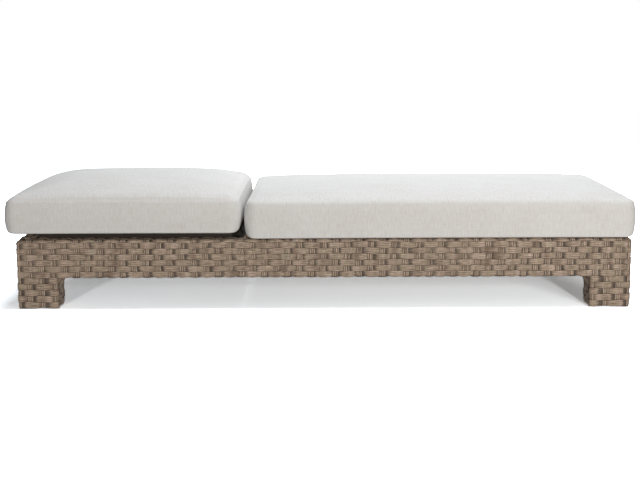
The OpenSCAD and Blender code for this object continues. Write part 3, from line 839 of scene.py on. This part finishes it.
def laid_on_foam(mesh, foam):
    """The cover's points, moved out wherever the even mesh has cut into the foam's edges."""
    places = points_of(mesh)
    depth = np.zeros(len(places))
    for i, place in enumerate(places):
        point, out, _, _ = foam.find_nearest(place)
        depth[i] = max(0, (point - Vector(place)).dot(out))
    a, b = read(mesh.edges, "vertices", int, 2).T
    ends = np.concatenate([a, b])
    share = np.bincount(ends, minlength=len(depth))
    for _ in range(4):  # spreads the depth over neighbours, so that no facet of the foam shows
        depth = 0.5 * depth + 0.5 * np.bincount(ends, np.concatenate([depth[b], depth[a]])) / share
    print("cover laid on its foam: moved out by up to", round(1000 * float(depth.max()), 1), "mm")
    return places + normals_of(mesh) * depth[:, None]


def settled(places, low, high, hang):
    """The lower edge pressed out square at the sides, less so at the ends, and hanging over the side rails."""
    middle, half = (np.array(low) + np.array(high))[:2] / 2, (np.array(high) - np.array(low))[:2] / 2
    past = np.abs(places[:, :2] - middle) - (half - PLAN_CORNER)
    both = np.clip(past, 0, None)
    inset = PLAN_CORNER - np.hypot(*both.T) - np.minimum(past.max(1), 0)
    out = np.where((past > 0).all(1)[:, None], both, past == past.max(1)[:, None])
    out = np.sign(places[:, :2] - middle) * out / np.linalg.norm(out, axis=1)[:, None]
    height = np.clip(places[:, 2] - low.z, 0, LOWER_EDGE_R)
    radius = SETTLED_SIDE_R * out[:, 1] ** 2 + SETTLED_END_R * out[:, 0] ** 2

    def rounding(r):
        return r - np.sqrt(r**2 - np.clip(r - height, 0, None) ** 2)

    was = rounding(np.full(len(places), LOWER_EDGE_R))
    push = (was - rounding(radius)) * np.clip(1 - (inset - was - OUTERMOST) / SETTLE_REACH, 0, 1)
    drop = hang * out[:, 1] ** 2 * np.clip(1 - (places[:, 2] - low.z) / HANG_HEIGHT, 0, 1)
    spread = drop * np.clip(1 - (inset - push - OUTERMOST) / HANG_REACH, 0, 1)
    moved = places.copy()
    moved[:, :2] += out * (push + spread)[:, None]
    past_rail = np.clip(1 - (inset - push - spread) / RAIL_ROUND, 0, 1) ** 2
    moved[:, 2] = np.maximum(moved[:, 2], low.z) - drop * past_rail
    return moved


def blown_up(cushion, start, base, seam):
    """The cover's points after pressure has swollen it as cloth, with its base held and its seam tight."""
    cloth = cushion.modifiers.new("cover", "CLOTH")
    cover = cloth.settings
    cover.quality, cover.mass = 5, 0.4
    cover.tension_stiffness = cover.compression_stiffness = 22
    cover.shear_stiffness, cover.bending_stiffness = 8, 2.5
    cover.use_pressure, cover.uniform_pressure_force = True, 4
    cover.effector_weights.gravity = 0
    cover.vertex_group_mass = base.name
    cover.vertex_group_shrink, cover.shrink_min, cover.shrink_max = seam.name, 0, 0.004
    scene = bpy.context.scene
    for step in range(1, CLOTH_STEPS + 1):
        scene.frame_set(step)
    blown = cushion.evaluated_get(bpy.context.evaluated_depsgraph_get())
    moved = points_of(blown.data) - start
    far = np.linalg.norm(moved, axis=1, keepdims=True)
    moved *= np.minimum(1, MOST_SWELL / np.maximum(far, 1e-9))
    cushion.modifiers.remove(cloth)
    scene.frame_set(1)
    print(cushion.name, "swells by up to", round(1000 * float(far.max()), 1), "mm")
    return start + moved


def cover_uv(mesh, seam_z):
    """A UV map in metres with the threads along each panel of the cover, split at its seam and corners."""
    faces = mesh.polygons
    out_x, out_y, out_z = read(faces, "normal", width=3).T
    above_seam = read(faces, "center", width=3)[:, 2] > seam_z
    flat = (np.abs(out_z) > 0.6) | (above_seam & (out_z > 0.3))
    end = ~flat & (np.abs(out_x) > np.abs(out_y))
    totals = read(faces, "loop_total", int)
    flat, end = np.repeat(flat, totals), np.repeat(end, totals)
    x, y, z = points_of(mesh)[read(mesh.loops, "vertex_index", int)].T
    for layer in list(mesh.uv_layers):
        mesh.uv_layers.remove(layer)
    uv = np.stack([np.where(end, y, x), np.where(flat, y, z)], 1)
    mesh.uv_layers.new(name="Cover").data.foreach_set("uv", uv.ravel())


def even_copy(name, node):
    """A loose copy of a CAD cushion, remeshed evenly and a little smaller, and the foam to lay it on."""
    cushion = frame["nodes"][node].copy()
    cushion.data = frame["nodes"][node].data.copy()
    cushion.name = cushion.data.name = name
    for key in list(cushion.keys()):
        del cushion[key]
    placed = cushion.matrix_world.copy()
    cushion.parent = None
    cushion.matrix_world = placed
    bpy.context.collection.objects.link(cushion)
    cushion.hide_render = False
    only(cushion)
    bpy.ops.object.transform_apply(location=True, rotation=True, scale=True)
    bpy.ops.object.mode_set(mode="EDIT")
    bpy.ops.mesh.select_all(action="SELECT")
    bpy.ops.mesh.remove_doubles(threshold=0.00005)
    bpy.ops.mesh.normals_make_consistent(inside=False)
    bpy.ops.object.mode_set(mode="OBJECT")
    foam = BVHTree.FromPolygons([v.co for v in cushion.data.vertices], [p.vertices for p in cushion.data.polygons])
    remesh = cushion.modifiers.new("even_mesh", "REMESH")
    remesh.mode, remesh.voxel_size = "VOXEL", VOXEL
    bpy.ops.object.modifier_apply(modifier=remesh.name)
    bpy.ops.object.mode_set(mode="EDIT")
    bpy.ops.mesh.select_all(action="SELECT")
    bpy.ops.transform.shrink_fatten(value=-SMALLER)
    bpy.ops.object.mode_set(mode="OBJECT")
    return cushion, foam


def sewn_cushion(name, node, body, seam_height, hang):
    """A cover round a CAD cushion, which it takes the place of."""
    low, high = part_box(node)
    seam_z = low.z + seam_height
    cushion, foam = even_copy(name, node)
    start = points_of(cushion.data)
    start[:, 2] += low.z - start[:, 2].min()
    cushion.data.vertices.foreach_set("co", start.ravel())

    base = cushion.vertex_groups.new(name="flat_base")
    base.add([int(i) for i in np.nonzero(start[:, 2] < low.z + BASE_HEIGHT)[0]], 1.0, "REPLACE")
    seam = cushion.vertex_groups.new(name="seam")
    tight = near_seam(start, seam_z - SMALLER, low, high, TIGHT_HALF)
    for i in np.nonzero(tight > 0.15)[0]:
        seam.add([int(i)], float(tight[i]), "REPLACE")
    cushion.data.vertices.foreach_set("co", blown_up(cushion, start, base, seam).ravel())
    finer = cushion.modifiers.new("finer", "SUBSURF")
    finer.levels = finer.render_levels = 1
    bpy.ops.object.modifier_apply(modifier=finer.name)

    places = settled(laid_on_foam(cushion.data, foam), low, high, hang)
    ridge = near_seam(places, seam_z + RIDGE_RISE, low, high, RIDGE_HALF)
    places += normals_of(cushion.data) * (RIDGE * ridge)[:, None]
    cushion.data.vertices.foreach_set("co", places.ravel())
    cushion.data.update()
    cover_uv(cushion.data, seam_z)
    bpy.ops.object.shade_smooth()
    cushion.select_set(False)
    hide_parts(node)
    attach(cushion, body)
    print(name, "faces:", len(cushion.data.polygons))
    return cushion


seat_cushion = sewn_cushion("seat_cushion_cover", "seat_cushion", "frame", seam_height=0.113, hang=0.004)
back_cushion = sewn_cushion("back_cushion_cover", "back_cushion", "loose_back_cushion", seam_height=0.100, hang=0)

# %% [markdown]
# ## Outdoor canvas
#
# The covers are a heavy plain-woven canvas of solution-dyed acrylic yarn in off-white. Its yarn is
# spun unevenly, so thick places run through it as short pale and dark streaks, most of them upright on
# the sides. The real threads lie 0.7 mm apart, far finer than the picture can show, so the plain weave
# is drawn with a spacing of 1.6 mm. A little sheen stands for the loose fibres that catch the light.

# %% Solution-dyed canvas
THREAD = 0.0016  # from one drawn thread to the next
CANVAS_TONES = {0.0: "#dfdcd9", 0.5: "#e5e4e2", 1.0: "#ebeae9"}


def outdoor_canvas():
    """Off-white canvas with the streaks of uneven yarn and the relief of a plain weave."""
    fibre = {"Sheen_Weight": 0.12, "Sheen_Roughness": 0.6, "Specular_IOR_Level": 0.25}
    material, tree, shader = new_material("solution_dyed_acrylic_canvas", Roughness=0.92, IOR=1.45, **fibre)
    u, v = uv_axes(tree, "Cover")

    def streaks(wide, high, detail):
        """Noise with streaks that are wide mm by high mm."""
        return stretched_noise(tree, u, v, 1000 / wide, 1000 / high, detail, 0.55)

    def threads(coordinate):
        return calc(tree, "SINE", calc(tree, "MULTIPLY", coordinate, math.pi / THREAD))

    upright, level, cloudy = streaks(4.5, 26, 2), streaks(40, 3.5, 2), streaks(160, 120, 1)
    mix = calc(tree, "ADD", upright, calc(tree, "MULTIPLY", level, 0.45))
    mix = calc(tree, "ADD", mix, calc(tree, "MULTIPLY", cloudy, 0.3))
    colour = colour_ramp(tree, remapped(tree, mix, (0.6, 1.15)), CANVAS_TONES)
    tree.links.new(colour, shader.inputs["Base Color"])
    plain = calc(tree, "MULTIPLY", threads(u), threads(v))
    bumped(tree, shader, calc(tree, "ADD", calc(tree, "MULTIPLY", plain, 0.25), upright), 0.5, 0.0006)
    return material


canvas = outdoor_canvas()
for cushion in (seat_cushion, back_cushion):
    cushion.data.materials.clear()
    cushion.data.materials.append(canvas)

# %% [markdown]
# ## Tubes, fittings, bumpers and glides
#
# The frame is extruded aluminium tube with its lugs and plates welded on, powder-coated in a brown
# that disappears behind the wicker. A powder coat melts into a slightly dimpled skin with a satin
# sheen. The prop, racks, screws and bolts are hot-dip galvanised steel, whose zinc sets in dull
# patches of different grey. The photo shows no bright metal where the hinge pins end between the
# cushions, so they are phosphated steel, a dull dark grey. The bumpers are moulded rubber, matt black
# with a bloom, and the glides are moulded polypropylene, scuffed by floors.

# %% Powder coat, steels, rubber and polypropylene
def object_noise(tree, size_mm, detail=2.0, roughness=0.5):
    """Noise on Object coordinates, which are metres here, with features of a given size."""
    at = add_node(tree, "TexCoord").outputs["Object"]
    inputs = {"Vector": at, "Scale": 1000 / size_mm, "Detail": detail, "Roughness": roughness}
    return add_node(tree, "TexNoise", inputs).outputs[0]


def finished(tree, shader, tones, colour_by, rough, rough_by, bump, relief):
    """Gives a material its colours, roughness and relief, each by a pattern."""
    tree.links.new(colour_ramp(tree, colour_by, tones), shader.inputs["Base Color"])
    tree.links.new(remapped(tree, rough_by, (0.25, 0.75), rough), shader.inputs["Roughness"])
    bumped(tree, shader, relief, *bump)


def powder_coat():
    material, tree, shader = new_material("powder_coated_aluminium", IOR=1.5, Specular_IOR_Level=0.25)
    dimples, drift = object_noise(tree, 1.6, 1), object_noise(tree, 60, 3)
    tones = {0.3: "#1f1812", 0.7: "#2b221a"}
    finished(tree, shader, tones, drift, (0.56, 0.68), dimples, (0.3, 0.0003), dimples)
    return material


def galvanised_steel():
    material, tree, shader = new_material("hot_dip_galvanised_steel", Metallic=1.0)
    at = add_node(tree, "TexCoord").outputs["Object"]
    patches = add_node(tree, "TexVoronoi", {"Vector": at, "Scale": 1000 / 9}).outputs["Color"]
    grain, tones = object_noise(tree, 2.5, 3, 0.6), {0.2: "#9ea2a5", 0.8: "#b9bcbe"}
    finished(tree, shader, tones, patches, (0.34, 0.56), grain, (0.25, 0.0002), grain)
    return material


def phosphated_steel():
    material, tree, shader = new_material("phosphated_steel", Metallic=1.0)
    crystals, tones = object_noise(tree, 1.2, 3, 0.6), {0.3: "#34322f", 0.7: "#45423e"}
    finished(tree, shader, tones, crystals, (0.55, 0.72), crystals, (0.2, 0.0001), crystals)
    return material


def moulded_rubber():
    material, tree, shader = new_material("moulded_rubber", IOR=1.52)
    bloom, pores = object_noise(tree, 7, 4, 0.6), object_noise(tree, 0.9, 1)
    tones = {0.35: "#191817", 0.75: "#2b2927"}
    finished(tree, shader, tones, bloom, (0.75, 0.92), bloom, (0.35, 0.0002), pores)
    return material


def moulded_polypropylene():
    material, tree, shader = new_material("moulded_polypropylene", IOR=1.49)
    scuffs, tones = object_noise(tree, 3, 5, 0.7), {0.45: "#1d1b1a", 0.7: "#3a3734"}
    finished(tree, shader, tones, scuffs, (0.4, 0.7), scuffs, (0.3, 0.0002), scuffs)
    return material


finishes = {
    "frame_tube": powder_coat(),
    "steel": galvanised_steel(),
    "bumper_rubber": moulded_rubber(),
    "glide_plastic": moulded_polypropylene(),
}
for entry in frame["record"]["subparts"]:
    finish = finishes.get(entry["material_slot"])
    if finish:
        for place in frame["nodes"][entry["node"]].material_slots:
            place.material = finish
dark_steel = phosphated_steel()
for place in frame["nodes"]["hinge_pins"].material_slots:
    place.material = dark_steel
print("finishes:", [finish.name for finish in (*finishes.values(), dark_steel)])
